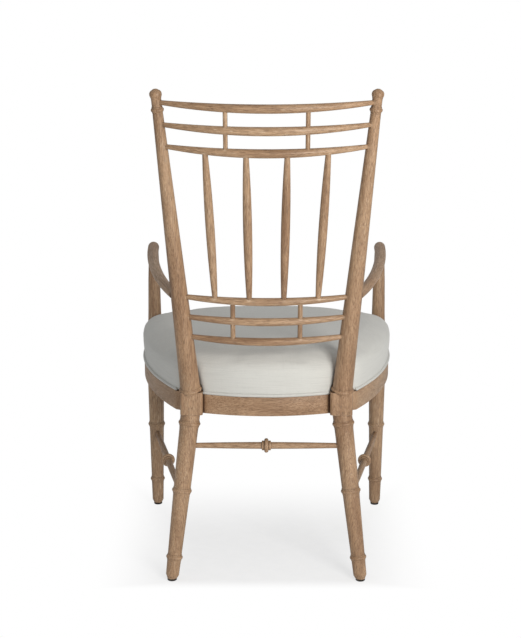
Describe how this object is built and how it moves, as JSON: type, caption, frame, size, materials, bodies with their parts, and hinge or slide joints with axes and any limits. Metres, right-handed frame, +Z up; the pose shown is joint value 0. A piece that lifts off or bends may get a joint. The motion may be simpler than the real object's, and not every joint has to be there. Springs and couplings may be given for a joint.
{
  "type": "armchair",
  "caption": "Turned wooden armchair with a bowed spindle back, round arms and a pale upholstered seat.",
  "frame": {"origin": "on the floor under the middle of the chair's bounding box", "axes": "+Z up, -Y the way the sitter faces, +X the sitter's left"},
  "size_m": [0.5646, 0.6958, 0.9915],
  "materials": {
    "turned_wood": "satin",
    "block_hardwood": "matte",
    "plywood": "matte",
    "seat_fabric": "matte",
    "welt_fabric": "matte",
    "foam": "matte",
    "dust_cloth": "matte",
    "steel": "satin",
    "glide_nylon": "satin"
  },
  "bodies": {
    "root": {"arm_left": "turned_wood", "arm_right": "turned_wood", "corner_block_front_left": "block_hardwood", "corner_block_front_right": "block_hardwood", "corner_block_rear_left": "block_hardwood", "corner_block_rear_right": "block_hardwood", "corner_block_screws": "steel", "crest_rail_low": "turned_wood", "crest_rail_middle": "turned_wood", "crest_rail_top": "turned_wood", "crest_strut_lower_left": "turned_wood", "crest_strut_lower_right": "turned_wood", "crest_strut_upper_left": "turned_wood", "crest_strut_upper_right": "turned_wood", "dust_cover": "dust_cloth", "front_glide_left": "glide_nylon", "front_glide_right": "glide_nylon", "front_post_left": "turned_wood", "front_post_right": "turned_wood", "front_seat_rail": "turned_wood", "front_stretcher": "turned_wood", "lumbar_rail_low": "turned_wood", "lumbar_rail_middle": "turned_wood", "lumbar_rail_top": "turned_wood", "lumbar_strut_lower_left": "turned_wood", "lumbar_strut_lower_right": "turned_wood", "lumbar_strut_upper_left": "turned_wood", "lumbar_strut_upper_right": "turned_wood", "rear_glide_left": "glide_nylon", "rear_glide_right": "glide_nylon", "rear_post_left": "turned_wood", "rear_post_right": "turned_wood", "rear_seat_rail": "turned_wood", "rear_stretcher": "turned_wood", "seat_board": "plywood", "seat_cover": "seat_fabric", "seat_foam": "foam", "seat_screws": "steel", "side_seat_rail_left": "turned_wood", "side_seat_rail_right": "turned_wood", "side_stretcher_left": "turned_wood", "side_stretcher_right": "turned_wood", "spindle_1": "turned_wood", "spindle_2": "turned_wood", "spindle_3": "turned_wood", "spindle_4": "turned_wood", "welt_front": "welt_fabric", "welt_left": "welt_fabric", "welt_rear": "welt_fabric", "welt_right": "welt_fabric"}
  },
  "joints": []
}
